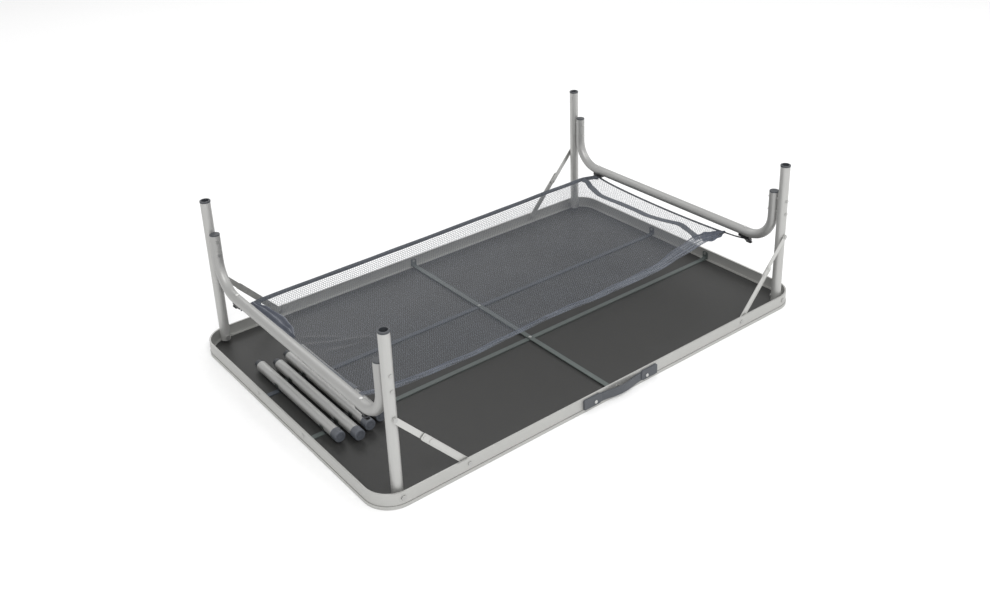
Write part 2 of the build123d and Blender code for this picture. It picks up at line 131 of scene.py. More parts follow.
def node(tree, kind, inputs=None, **settings):
    """A new shader node. An input's value is either a number or another node's output to link to."""
    made = tree.nodes.new(kind)
    for name, value in settings.items():
        setattr(made, name, value)
    for name, value in (inputs or {}).items():
        if isinstance(value, bpy.types.NodeSocket):
            tree.links.new(value, made.inputs[name])
        else:
            made.inputs[name].default_value = value
    return made


def place(tree, scale=(1, 1, 1), source="Object"):
    """The piece's own coordinates in metres, times scale. The source "UV" gives the cloth's sizes instead."""
    coordinates = node(tree, "ShaderNodeTexCoord")
    return node(tree, "ShaderNodeMapping", {"Vector": coordinates.outputs[source], "Scale": scale}).outputs[0]


def cloud(tree, vector, scale, detail):
    """Cloudy noise from about 0.3 to 0.7, with scale patches to a metre."""
    settings = {"Vector": vector, "Scale": scale, "Detail": detail, "Roughness": CLOUD_ROUGHNESS}
    return node(tree, "ShaderNodeTexNoise", settings).outputs["Fac"]


def waves(tree, vector, bands, scale, distortion, detail):
    """Even bands across the axis named by bands."""
    settings = {"Vector": vector, "Scale": scale, "Distortion": distortion, "Detail": detail}
    return node(tree, "ShaderNodeTexWave", settings, bands_direction=bands).outputs["Fac"]


def remap(tree, value, low, high, to_low, to_high):
    """value between low and high, moved to between to_low and to_high and held there outside them."""
    settings = {0: value, 1: low, 2: high, 3: to_low, 4: to_high}
    return node(tree, "ShaderNodeMapRange", settings).outputs[0]


def calc(tree, how, a, b):
    return node(tree, "ShaderNodeMath", {0: a, 1: b}, operation=how).outputs[0]


def shades(tree, value, dark, light):
    """A colour from dark at 0 to light at 1."""
    ramp = node(tree, "ShaderNodeValToRGB", {"Fac": value})
    ramp.color_ramp.elements[0].color = (*dark, 1.0)
    ramp.color_ramp.elements[1].color = (*light, 1.0)
    return ramp.outputs["Color"]


def tint(colour, by):
    return tuple(min(1.0, c * by) for c in colour)


def bump(tree, height, strength, depth):
    settings = {"Height": height, "Strength": strength, "Distance": depth}
    return node(tree, "ShaderNodeBump", settings).outputs["Normal"]


def surface(name, **fixed):
    """A new material, its node tree and its main shader, whose fixed values are set on its own sockets."""
    material = bpy.data.materials.new(name)
    material.use_nodes = True
    tree = material.node_tree
    shader = tree.nodes["Principled BSDF"]
    for socket, value in fixed.items():
        shader.inputs[socket.replace("_", " ")].default_value = value
    return material, tree, shader


def wire(tree, shader, **links):
    """Links node outputs to the shader's sockets, whose names have _ for a space."""
    for socket, value in links.items():
        tree.links.new(value, shader.inputs[socket.replace("_", " ")])


# ---------------------------------------------------------------- materials

def metal(name, colour, rough, run, metallic, scuffs=0.10):
    """Drawn or extruded metal: long faint lines along run, cloudy tarnish and short bright scuffs."""
    material, tree, shader = surface(name, Metallic=metallic)
    drawn = tuple(3.0 if axis in run else 160.0 for axis in "xyz")
    lines = cloud(tree, place(tree, drawn), scale=6.0, detail=4.0)
    tarnish = cloud(tree, place(tree), scale=14.0, detail=5.0)
    scratch = cloud(tree, place(tree, (1.0, 1.7, 2.3)), scale=420.0, detail=2.0)
    scuff = remap(tree, scratch, 0.66, 0.74, 0.0, scuffs)
    mixed = calc(tree, "ADD", calc(tree, "MULTIPLY", lines, 0.5), calc(tree, "MULTIPLY", tarnish, 0.5))
    mixed = calc(tree, "ADD", mixed, scuff)
    wire(tree, shader, Base_Color=shades(tree, mixed, tint(colour, 0.86), tint(colour, 1.14)))
    uneven = remap(tree, tarnish, 0.3, 0.7, rough - 0.05, rough + 0.07)
    wire(tree, shader, Roughness=calc(tree, "SUBTRACT", uneven, scuff))
    wire(tree, shader, Normal=bump(tree, calc(tree, "ADD", lines, scratch), 0.12, 0.0002))
    return material


def paint(name, colour, rough, metallic=0.0):
    """Stoved paint on steel: fine orange peel with chips that show a paler primer."""
    material, tree, shader = surface(name, Metallic=metallic, Specular_IOR_Level=0.45)
    peel = cloud(tree, place(tree), scale=900.0, detail=2.0)
    dust = cloud(tree, place(tree), scale=22.0, detail=5.0)
    spots = cloud(tree, place(tree), scale=170.0, detail=3.0)
    chips = remap(tree, spots, 0.70, 0.74, 0.0, 0.55)
    tone = calc(tree, "ADD", remap(tree, dust, 0.3, 0.7, 0.25, 0.6), chips)
    wire(tree, shader, Base_Color=shades(tree, tone, tint(colour, 0.75), tint(colour, 1.5)))
    wire(tree, shader, Roughness=remap(tree, dust, 0.3, 0.7, rough - 0.06, rough + 0.08))
    wire(tree, shader, Normal=bump(tree, peel, 0.25, 0.0002))
    return material


def plastic(name, colour, rough, grain):
    """Moulded plastic with a spark-eroded grain and dulled, dusty patches."""
    material, tree, shader = surface(name, Specular_IOR_Level=0.5)
    cells = node(tree, "ShaderNodeTexVoronoi", {"Vector": place(tree), "Scale": grain}).outputs["Distance"]
    dust = cloud(tree, place(tree), scale=45.0, detail=5.0)
    wire(tree, shader, Base_Color=shades(tree, dust, tint(colour, 0.8), tint(colour, 1.3)))
    wire(tree, shader, Roughness=remap(tree, dust, 0.3, 0.7, rough - 0.07, rough + 0.09))
    wire(tree, shader, Normal=bump(tree, cells, 0.35, 0.0003))
    return material


def board(name, colour):
    """Dark resin-paper backing: a faint fibre mottle and a satin face with hazy patches."""
    material, tree, shader = surface(name, Specular_IOR_Level=0.25)
    fibre = cloud(tree, place(tree, (1.0, 3.0, 1.0)), scale=260.0, detail=4.0)
    haze = cloud(tree, place(tree), scale=3.2, detail=4.0)
    tone = calc(tree, "ADD", calc(tree, "MULTIPLY", fibre, 0.35), calc(tree, "MULTIPLY", haze, 0.65))
    wire(tree, shader, Base_Color=shades(tree, tone, tint(colour, 0.82), tint(colour, 1.2)))
    wire(tree, shader, Roughness=remap(tree, haze, 0.3, 0.7, 0.36, 0.46))
    wire(tree, shader, Normal=bump(tree, fibre, 0.08, 0.0002))
    return material


def laminate(name, colour):
    """Table face: fine speckled satin laminate."""
    material, tree, shader = surface(name, Coat_Weight=0.15, Coat_Roughness=0.3)
    speck = cloud(tree, place(tree), scale=700.0, detail=2.0)
    haze = cloud(tree, place(tree), scale=5.0, detail=4.0)
    tone = remap(tree, speck, 0.35, 0.65, 0.2, 0.8)
    wire(tree, shader, Base_Color=shades(tree, tone, tint(colour, 0.88), tint(colour, 1.08)))
    wire(tree, shader, Roughness=remap(tree, haze, 0.3, 0.7, 0.32, 0.44))
    wire(tree, shader, Normal=bump(tree, speck, 0.1, 0.0001))
    return material


def woven(name, colour, pitch, slant):
    """Woven tape or gathered mesh: two sets of yarns a pitch apart, which cross at a slant to the cloth."""
    material, tree, shader = surface(name, Sheen_Weight=0.25, Sheen_Roughness=0.4, Roughness=0.75)
    cloth = place(tree, (1.0, 1.0, 1.0), "UV")
    turned = node(tree, "ShaderNodeMapping", {"Vector": cloth, "Rotation": (0, 0, slant)}).outputs[0]
    to_a_metre = 1.0 / (2.0 * pitch)
    ribs = waves(tree, turned, "X", to_a_metre, distortion=0.4, detail=1.0)
    picks = waves(tree, turned, "Y", to_a_metre, distortion=0.4, detail=1.0)
    weave = calc(tree, "MAXIMUM", ribs, picks)
    faded = cloud(tree, place(tree), scale=30.0, detail=4.0)
    tone = calc(tree, "ADD", calc(tree, "MULTIPLY", weave, 0.5), calc(tree, "MULTIPLY", faded, 0.5))
    wire(tree, shader, Base_Color=shades(tree, tone, tint(colour, 0.6), tint(colour, 1.45)))
    wire(tree, shader, Normal=bump(tree, weave, 0.5, 0.0004))
    return material


def knitted(name, colour, hole, yarn, cover):
    """Warp-knit mesh: staggered holes, each hole wide and high, between yarns, with faint denser courses.

    cover is how far the holes are filled, outside the courses and on them.
    """
    material, tree, shader = surface(name, Sheen_Weight=0.3, Sheen_Roughness=0.4, Roughness=0.6)
    cloth = place(tree, (1.0, 1.0, 1.0), "UV")
    settings = {"Vector": cloth, "Scale": 1.0, "Mortar Size": yarn, "Mortar Smooth": 0.15,
                "Brick Width": hole[0], "Row Height": hole[1]}
    knit = node(tree, "ShaderNodeTexBrick", settings, offset=0.5).outputs["Fac"]
    course = waves(tree, cloth, "X", 45.0, distortion=0.6, detail=1.0)
    faded = cloud(tree, place(tree), scale=9.0, detail=4.0)
    tone = remap(tree, calc(tree, "ADD", faded, calc(tree, "MULTIPLY", course, 0.4)), 0.3, 1.0, 0.0, 1.0)
    wire(tree, shader, Base_Color=shades(tree, tone, tint(colour, 0.8), tint(colour, 1.25)))
    filled = remap(tree, course, 0.0, 1.0, cover[0], cover[1])
    wire(tree, shader, Alpha=calc(tree, "MAXIMUM", knit, filled))
    wire(tree, shader, Normal=bump(tree, knit, 0.4, 0.0004))
    return material


def braid(name, colour):
    """Elastic cord: a diagonal braid of fine yarns with a dull sheen."""
    material, tree, shader = surface(name, Sheen_Weight=0.2, Sheen_Roughness=0.4, Roughness=0.7)
    strands = []
    for slant in (0.7, -0.7):
        turned = node(tree, "ShaderNodeMapping", {"Vector": place(tree), "Rotation": (slant, slant, slant)})
        strands.append(waves(tree, turned.outputs[0], "Y", 420.0, distortion=0.0, detail=2.0))
    crossed = calc(tree, "MAXIMUM", *strands)
    wire(tree, shader, Base_Color=shades(tree, crossed, tint(colour, 0.6), tint(colour, 1.6)))
    wire(tree, shader, Normal=bump(tree, crossed, 0.5, 0.0003))
    return material


MATERIALS = {
    "laminate": laminate("laminate", (0.62, 0.62, 0.60)),
    "underside_board": board("underside_board", (0.038, 0.038, 0.037)),
    "anodised_aluminium": metal("anodised_aluminium", (0.43, 0.43, 0.415), 0.44, "xy", 0.5),
    "leg_aluminium": metal("leg_aluminium", (0.445, 0.445, 0.433), 0.45, "yz", 0.55),
    "bar_steel": paint("bar_steel", (0.085, 0.100, 0.096), 0.45),
    # far_bar_steel is the bar paint made darker: painted shade for the far long bar, which lies in the net's
    # shadow.
    "far_bar_steel": paint("far_bar_steel", (0.048, 0.056, 0.068), 0.5),
    "clip_steel": paint("clip_steel", (0.055, 0.062, 0.062), 0.38, 0.3),
    "u_tube_aluminium": metal("u_tube_aluminium", (0.360, 0.360, 0.352), 0.45, "yz", 0.55),
    "stored_leg_aluminium": metal("stored_leg_aluminium", (0.42, 0.42, 0.41), 0.44, "yz", 0.55),
    "brace_steel": metal("brace_steel", (0.50, 0.50, 0.485), 0.40, "z", 0.7, 0.2),
    "rivet_aluminium": metal("rivet_aluminium", (0.42, 0.42, 0.41), 0.36, "", 0.8, 0.2),
    "bright_steel": metal("bright_steel", (0.55, 0.55, 0.54), 0.36, "", 0.8, 0.15),
    "handle_plastic": plastic("handle_plastic", (0.058, 0.063, 0.072), 0.50, 1400.0),
    "foot_cap_plastic": plastic("foot_cap_plastic", (0.098, 0.106, 0.122), 0.48, 1100.0),
    "plug_plastic": plastic("plug_plastic", (0.042, 0.046, 0.052), 0.45, 1300.0),
    "hook_plastic": plastic("hook_plastic", (0.012, 0.012, 0.013), 0.40, 1300.0),
    "elastic_cord": braid("elastic_cord", (0.025, 0.026, 0.030)),
    "net_mesh": knitted("net_mesh", (0.074, 0.083, 0.102), (0.0056, 0.0042), 0.00044, (0.0, 0.06)),
    "net_fold": knitted("net_fold", (0.115, 0.129, 0.157), (0.0040, 0.0030), 0.00042, (0.05, 0.40)),
    "net_hem": woven("net_hem", (0.092, 0.100, 0.114), 0.0009, 0.5),
    "net_tape": woven("net_tape", (0.062, 0.070, 0.084), 0.0009, 0.5),
    "net_bunch": woven("net_bunch", (0.064, 0.072, 0.094), 0.0016, 0.8),
}


def dress_cad():
    """Gives each CAD node the material that the record names for it."""
    for part in frame["record"]["subparts"]:
        shown = frame["nodes"][part["node"]].data
        shown.materials.clear()
        shown.materials.append(MATERIALS[part["material_slot"]])


# ---------------------------------------------------------------- shape of the net

def net_hinge():
    """Where the right half of the net hangs from its leg frame. The left half mirrors it."""
    return next(joint["pos_m"] for joint in frame["joints"] if joint["name"] == "right_net_hang")


# Each hook hangs from its screw, with its post further out. A cord spans the distance between two screws.
SCREW_HEAD_R = 4 * MM
HOOK_X, _, CORD_Z = net_hinge()
HOOK_REACH = round(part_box("right_hook_screws")[1][1] - SCREW_HEAD_R, 4)
HOOK_POST_Y = HOOK_REACH + 12 * MM
CORD_R = 1.8 * MM

FLOOR_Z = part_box("right_net_mesh")[0][2] - 0.5 * MM
FAR_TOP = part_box("right_net_hems")[1][2] + 1.5 * MM
FAR_TOP_DROP = 4.5 * MM
FAR_TOP_DROP_FROM = 0.88
WALL_DEPTH = 22 * MM
WALL_POWER = 1.8
# How far each end's middle bows inwards and dips, on the left (-1) and on the right (1).
END_BOW = {-1: 8.0 * MM, 1: 9.5 * MM}
END_DIP = {-1: 1.5 * MM, 1: 7.0 * MM}
END_BOW_POWER = 0.6
END_RISE_FROM = 0.455
END_RISE_POWER = 2.9
TAUT_SHARE = 0.04


def ease(t):
    """0 to 1 with a soft start and end."""
    t = min(1.0, max(0.0, t))
    return t * t * (3 - 2 * t)


def along(value, knots):
    """Smooth reading at value of knots, which are (place, amount) pairs."""
    if value <= knots[0][0]:
        return knots[0][1]
    for (a, low), (b, high) in zip(knots, knots[1:]):
        if value <= b:
            return low + (high - low) * ease((value - a) / (b - a))
    return knots[-1][1]


def end_line(side, y):
    """Where the end hem runs: (distance from the middle, height)."""
    sag = 1.0 - (y / HOOK_REACH) ** 2
    sag = max(0.0, sag) ** END_BOW_POWER
    return HOOK_X - END_BOW[side] * sag, CORD_Z - END_DIP[side] * sag


# The net's long edges as (x, y), and how far its double near edge reaches inwards as (x, width).
FAR_EDGE = [(-0.549, 0.2575), (-0.49, 0.2585), (-0.32, 0.261), (-0.12, 0.264), (0.0, 0.266), (0.13, 0.2695),
            (0.42, 0.276), (0.50, 0.2775), (0.535, 0.274), (0.549, 0.262)]
NEAR_EDGE = [(-0.549, -0.210), (-0.44, -0.217), (-0.26, -0.217), (-0.12, -0.211), (0.0, -0.208),
             (0.12, -0.215), (0.28, -0.214), (0.40, -0.202), (0.47, -0.198), (0.549, -0.203)]
FLAP_WIDTH = [(-0.549, 0.006), (-0.47, 0.011), (-0.10, 0.008), (0.08, 0.012), (0.20, 0.018), (0.32, 0.022),
              (0.43, 0.033), (0.485, 0.038), (0.549, 0.008)]

# Folds that fan out of a pulled corner: the corner, how many there are in a full turn round it, and phase.
CORNER_FANS = (
    ((0.549, -0.205), 11, 0.4),
    ((-0.549, 0.262), 12, 1.1),
    ((0.549, 0.262), 8, 2.0),
)
FAN_HEIGHT = 2.6 * MM
FAN_REACH = 0.075
FAN_START = 0.03

# Soft creases: start, end, height in millimetres, and half-width.
CREASES = (
    ((-0.50, 0.026), (-0.385, -0.014), 4.5, 0.009),
    ((-0.475, -0.02), (-0.40, -0.026), 3.2, 0.007),
    ((-0.10, -0.186), (-0.04, -0.196), 3.0, 0.006),
    ((-0.49, 0.06), (-0.44, 0.03), 3.5, 0.008),
)

LONG_WAVE = 1.3 * MM
SHORT_WAVE = 0.5 * MM


def fan_lift(x, y, corner, count, phase):
    away = Vector((x - corner[0], y - corner[1]))
    angle = math.atan2(away.y, away.x)
    fading = math.exp(-away.length / FAN_REACH) * ease(away.length / FAN_START)
    return FAN_HEIGHT * math.sin(count * angle + phase) * fading


def crease_lift(x, y, a, b, tall, wide):
    start = Vector(a)
    run = Vector(b) - start
    t = (Vector((x, y)) - start).dot(run) / run.length_squared
    gap = (Vector((x, y)) - start - run * min(1.0, max(0.0, t))).length
    return tall * MM * math.exp(-((gap / wide) ** 2))


def wrinkles(x, y):
    """Slack ripples: long and short waves, folds that fan out of pulled corners, and a few soft creases."""
    lift = LONG_WAVE * noise.noise(Vector((x * 9, y * 9, 0.3)))
    lift += SHORT_WAVE * noise.noise(Vector((x * 30, y * 24, 4.1)))
    for fan in CORNER_FANS:
        lift += fan_lift(x, y, *fan)
    for crease in CREASES:
        lift += crease_lift(x, y, *crease)
    return lift


def net_height(x, y):
    """The height of the mesh over a place: a floor that rises to the cord at each end and to the far edge."""
    side = 1 if x >= 0 else -1
    reach, end_z = end_line(side, y)
    u = min(1.0, abs(x) / reach)
    rise = max(0.0, (u - END_RISE_FROM) / (1 - END_RISE_FROM)) ** END_RISE_POWER
    floor = FLOOR_Z + (end_z - FLOOR_Z) * rise
    slack = ease((1.0 - u) / TAUT_SHARE)
    far = along(x, FAR_EDGE)
    wall = min(1.0, max(0.0, (y - far + WALL_DEPTH) / WALL_DEPTH)) ** WALL_POWER
    top = FAR_TOP - FAR_TOP_DROP * ease((u - FAR_TOP_DROP_FROM) / (1 - FAR_TOP_DROP_FROM))
    return floor + wrinkles(x, y) * slack * (1 - wall) + (top - floor) * wall


FLAP_POINTS = 8
FLAP_GAP = 2.0 * MM
FLAP_SLOPE = 3.0 * MM
FLAP_RIPPLE = 0.8 * MM
FLAP_RIPPLE_TURN = 55.0
FLAP_RIPPLE_STEP = 2.5
FOLD_TURN = ((-0.8 * MM, 1.0 * MM), (0.6 * MM, 0.1 * MM))
CROWDING = 0.10
FLAP_SHUTS = 0.05


def net_row(x_share, side, count):
    """Points across the net at one share of its length: near flap, fold, floor and far wall."""
    x = side * x_share * HOOK_X
    near = along(x, NEAR_EDGE)
    far = along(x, FAR_EDGE)
    flap = along(x, FLAP_WIDTH)
    row = []
    for i in range(FLAP_POINTS):
        inwards = 1 - i / (FLAP_POINTS - 1)
        ripple = FLAP_RIPPLE * math.sin(FLAP_RIPPLE_TURN * x + FLAP_RIPPLE_STEP * i)
        row.append((near + flap * inwards, FLAP_GAP + FLAP_SLOPE * inwards + ripple))
    for step, lift in FOLD_TURN:
        row.append((near + step, lift))
    for i in range(1, count + 1):
        t = i / count
        t = t + CROWDING * math.sin(2 * math.pi * t) / (2 * math.pi)
        row.append((near + (far - near) * t, 0.0))
    points = []
    for y, lift in row:
        reach, _ = end_line(side, y)
        px = side * x_share * reach
        points.append(Vector((px, y, net_height(px, y) + lift * ease((1 - x_share) / FLAP_SHUTS))))
    return points


def grid_mesh(name, rows, material):
    """A quad sheet through rows of points. Its UV map holds cloth sizes in metres."""
    wide = len(rows[0])
    points = [p for row in rows for p in row]
    faces = [(r * wide + c, r * wide + c + 1, (r + 1) * wide + c + 1, (r + 1) * wide + c)
             for r in range(len(rows) - 1) for c in range(wide - 1)]
    mesh = bpy.data.meshes.new(name)
    mesh.from_pydata(points, [], faces)
    across = [0.0]
    for a, b in zip(rows[0], rows[0][1:]):
        across.append(across[-1] + (b - a).length)
    down = [0.0]
    for above, below in zip(rows, rows[1:]):
        down.append(down[-1] + (below[wide // 2] - above[wide // 2]).length)
    layer = mesh.uv_layers.new(name="cloth")
    for loop in mesh.loops:
        row, column = divmod(loop.vertex_index, wide)
        layer.data[loop.index].uv = (down[row], across[column])
    mesh.polygons.foreach_set("use_smooth", [True] * len(mesh.polygons))
    mesh.materials.append(material)
    piece = bpy.data.objects.new(name, mesh)
    bpy.context.scene.collection.objects.link(piece)
    return piece


TAPE_RING = 12
TAPE_ROUNDING = 0.6
TAPER_SHARE = 0.12


def tape_mesh(name, path, faces_to, width, thick, material, taper=0.0):
    """A flat tape along path. faces_to gives the direction of its width at each point.

    taper is how much narrower the tape gets towards both its ends.
    """
    rows = []
    last = len(path) - 1
    for i, point in enumerate(path):
        run = (path[min(i + 1, last)] - path[max(i - 1, 0)]).normalized()
        side = faces_to(point).normalized()
        side = (side - run * side.dot(run)).normalized()
        out = run.cross(side)
        edge = min(i, last - i) / max(1.0, TAPER_SHARE * last)
        half = width / 2 * (1 - taper * (1 - ease(edge)))
        ring = []
        for k in range(TAPE_RING):
            angle = 2 * math.pi * k / TAPE_RING
            across = math.copysign(abs(math.cos(angle)) ** TAPE_ROUNDING, math.cos(angle))
            ring.append(point + side * half * across + out * thick / 2 * math.sin(angle))
        ring.append(ring[0].copy())
        rows.append(ring)
    return grid_mesh(name, rows, material)


# ---------------------------------------------------------------- pieces of the net

# Rows along each half of the net, points across its floor in each row, and steps along each tape.
ROWS = 110
ACROSS = 84
TAPE_STEPS = 60


def settle(piece, side_name, squashed=True):
    """Hangs a piece on its half of the net, and gives it a mesh of its own unless squashed is False."""
    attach(piece, side_name + "_net")
    if squashed:
        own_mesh(piece)
    return piece


def make_net(side_name, side):
    """The see-through mesh of one half, from the middle of the table to its end."""
    rows = [net_row(i / ROWS, side, ACROSS) for i in range(ROWS + 1)]
    return grid_mesh(side_name + "_mesh_sheet", rows, MATERIALS["net_mesh"])


# The far hem's left half laps inside its right half at mid-table, so no gap opens when a frame folds.
HEM_LAP = {"left": 6.0 * MM, "right": 0.0}
HEM_WIDTH = {"left": 11.1 * MM, "right": 11.5 * MM}
HEM_THICKNESS_SHARE = 0.13
HEM_END_GAP = 1.5 * MM
HEM_BELOW_EDGE = 3.0 * MM
HEM_RIPPLE = 0.3 * MM
HEM_RIPPLE_TURN = 40.0


def make_far_hem(side_name, side):
    """The bound far edge, standing up along the top of the far wall."""
    path = []
    start = -HEM_LAP[side_name]
    for i in range(TAPE_STEPS + 1):
        x = side * (start + (HOOK_X - HEM_END_GAP - start) * i / TAPE_STEPS)
        y = along(x, FAR_EDGE)
        ripple = HEM_RIPPLE * math.sin(HEM_RIPPLE_TURN * x)
        path.append(Vector((x, y, net_height(x, y) - HEM_BELOW_EDGE + ripple)))
    width = HEM_WIDTH[side_name]
    return tape_mesh(side_name + "_far_hem", path, lambda p: Vector((0, 0, 1)), width,
                     width * HEM_THICKNESS_SHARE, MATERIALS["net_hem"])


FOLD_STEPS = 90
FOLD_ENDS_AT = 0.985
FOLD_OFFSET = Vector((0, 0.6 * MM, 0.5 * MM))


def flap_points(x_share, side):
    """The part of a row across the net that belongs to the double near edge, from its rim to the fold."""
    return net_row(x_share, side, FLAP_POINTS)[:FLAP_POINTS]


def make_near_fold(side_name, side):
    """The near edge's double layer: a denser band laid on the net along its near edge."""
    rows = []
    for i in range(FOLD_STEPS + 1):
        row = flap_points(i / FOLD_STEPS * FOLD_ENDS_AT, side)
        rows.append([point + FOLD_OFFSET for point in row])
    return grid_mesh(side_name + "_near_fold", rows, MATERIALS["net_fold"])


NEAR_HEM_REACH = 0.53
NEAR_HEM_LIFT = Vector((0, 0, 0.3 * MM))


def make_near_hem(side_name, side):
    """The stitched rim of the near edge's double layer."""
    path = []
    for i in range(TAPE_STEPS + 1):
        share = i / TAPE_STEPS * NEAR_HEM_REACH / HOOK_X
        path.append(flap_points(share, side)[0] + NEAR_HEM_LIFT)
    return tape_mesh(side_name + "_near_hem", path, lambda p: Vector((0, 1, 0.1)), width=2.6 * MM,
                     thick=1.0 * MM, material=MATERIALS["net_bunch"])


END_HEM_INSET = 1.2 * MM
END_HEM_LEAN = 0.35


def make_end_hem(side_name, side):
    """The bound end that the elastic cord runs through. It leans with the rise of the mesh."""
    near = along(side * HOOK_X, NEAR_EDGE)
    far = along(side * HOOK_X, FAR_EDGE)
    path = []
    for i in range(TAPE_STEPS + 1):
        y = near + (far - near) * i / TAPE_STEPS
        x, z = end_line(side, y)
        path.append(Vector((side * (x - END_HEM_INSET), y, z)))
    return tape_mesh(side_name + "_end_hem", path, lambda p: Vector((1, 0, -END_HEM_LEAN * side)),
                     width=8.5 * MM, thick=3.6 * MM, material=MATERIALS["net_tape"], taper=0.4)


# The sewn tape near each end: (distance from the middle, y) in millimetres.
SEAM_ROUTE = {
    "left": [(508, 256), (514, 220), (520, 160), (522, 100), (523, 40), (523, -20), (522, -80), (519, -130),
             (514, -178)],
    "right": [(497, 275), (505, 262), (497, 238), (484, 200), (481, 178), (486, 120), (487, 60), (486, 10),
              (492, -30), (500, -62), (505, -90), (495, -133), (479, -173)],
}
SEAM_STEPS = 90
SEAM_WIDTH = 16.0 * MM
SEAM_THICKNESS = 1.2 * MM


def spline_points(route, count):
    """Points along a smooth (Catmull-Rom) curve through route."""
    ends = [route[0]] + list(route) + [route[-1]]
    points = []
    spans = len(route) - 1
    just_short = spans - 1e-6
    for i in range(count + 1):
        at = min(just_short, spans * i / count)
        k = int(at)
        t = at - k
        a, b, c, d = (Vector(p) for p in ends[k:k + 4])
        points.append(0.5 * ((2 * b) + (c - a) * t + (2 * a - 5 * b + 4 * c - d) * t * t
                             + (3 * b - a - 3 * c + d) * t ** 3))
    return points


def make_seam(side_name, side):
    """The sewn tape near an end, lying on the mesh and following its slope."""
    path = []
    for p in spline_points(SEAM_ROUTE[side_name], SEAM_STEPS):
        x, y = side * p.x * MM, p.y * MM
        path.append(Vector((x, y, net_height(x, y) + SEAM_THICKNESS)))

    def level(p):
        """The mesh's slope along the table at a place on the tape."""
        step = 3 * MM
        return Vector((2 * step, 0, net_height(p.x + step, p.y) - net_height(p.x - step, p.y)))

    return tape_mesh(side_name + "_seam_tape", path, level, SEAM_WIDTH, SEAM_THICKNESS, MATERIALS["net_tape"])


CORNER_CORD_FROM = 497 * MM
CORNER_CORD_RUN = 45 * MM
CORNER_CORD_STEPS = 24
CORNER_CORD_OUT = 1.5 * MM
CORNER_CORD_LIFT = 2.2 * MM


def make_corner_cord(side_name, side):
    """The drawn-in end of the near edge, where the elastic cord leaves the gathered corner."""
    path = []
    for i in range(CORNER_CORD_STEPS + 1):
        x = side * (CORNER_CORD_FROM + CORNER_CORD_RUN * i / CORNER_CORD_STEPS)
        y = along(x, NEAR_EDGE)
        path.append(Vector((x, y - CORNER_CORD_OUT, net_height(x, y) + CORNER_CORD_LIFT)))
    return tape_mesh(side_name + "_corner_cord", path, lambda p: Vector((0, 1, 0.2)), width=4.0 * MM,
                     thick=3.4 * MM, material=MATERIALS["elastic_cord"])


BUNCH_STEPS = 48
BUNCH_ACROSS = 56
BUNCH_WAVE = 2.6
BUNCH_LUMP = 3.0
BUNCH_CROWN = 3.0 * MM
BUNCH_SLIDE = 2.0 * MM


def make_bunch(name, start, end, width, profile, folds, seed):
    """Mesh gathered into ruffles between two points, each (x, y, z) in millimetres.

    profile gives the share of width at each share of the length. folds is the number of ruffles.
    """
    a, b = Vector(start) * MM, Vector(end) * MM
    run = b - a
    side = Vector((-run.y, run.x, 0)).normalized()
    rows = []
    for i in range(BUNCH_STEPS + 1):
        t = i / BUNCH_STEPS
        spread = width * MM * along(t, profile)
        calm_ends = math.sin(math.pi * (0.08 + 0.84 * t))
        row = []
        for k in range(BUNCH_ACROSS + 1):
            s = k / BUNCH_ACROSS - 0.5
            wave = math.sin(2 * math.pi * folds * s + 1.3 * math.sin(3.1 * t + seed) + 2.2 * t)
            lump = noise.noise(Vector((t * 5, s * 6, seed)))
            lift = (BUNCH_WAVE * wave + BUNCH_LUMP * lump) * MM * calm_ends
            crown = BUNCH_CROWN * (1 - (2 * s) ** 2)
            slide = BUNCH_SLIDE * noise.noise(Vector((t * 7, s * 3, seed + 9)))
            row.append(a + run * t + side * (spread * s + slide) + Vector((0, 0, lift + crown)))
        rows.append(row)
    return grid_mesh(name, rows, MATERIALS["net_bunch"])


def new_curve(name, points, radius, material, cyclic=False):
    """A round cord along a smooth NURBS line that has points as its control points."""
    data = bpy.data.curves.new(name, "CURVE")
    data.dimensions = "3D"
    data.bevel_depth = radius
    data.bevel_resolution = 4
    data.resolution_u = 10
    data.use_fill_caps = True
    line = data.splines.new("NURBS")
    line.points.add(len(points) - 1)
    for control, point in zip(line.points, points):
        control.co = (*point, 1.0)
    line.order_u = 3
    line.use_endpoint_u = not cyclic
    line.use_cyclic_u = cyclic
    data.materials.append(material)
    piece = bpy.data.objects.new(name, data)
    bpy.context.scene.collection.objects.link(piece)
    return piece


LOOP_R = 6.2 * MM
LOOP_POINTS = 10
# A smooth line runs inside its control points, so the loop's stand a little outside its radius.
LOOP_CONTROL_R = 1.06 * LOOP_R
KNOT_POINTS = 24
KNOT_SIZE = 1.05 * MM
KNOT_CORD_SHARE = 0.9
KNOT_FROM_CORD_END = 3.0 * MM


def make_loop(side_name, side, place_name, sy):
    """The tied loop of elastic that goes round a hook's post."""
    points = []
    for i in range(LOOP_POINTS):
        angle = 2 * math.pi * i / LOOP_POINTS
        x = side * HOOK_X + LOOP_CONTROL_R * math.sin(angle)
        y = sy * HOOK_POST_Y + LOOP_CONTROL_R * math.cos(angle)
        points.append(Vector((x, y, CORD_Z)))
    loop = new_curve(f"{side_name}_{place_name}_cord_loop", points, CORD_R, MATERIALS["elastic_cord"], True)
    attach(loop, side_name + "_leg_frame")
    return loop


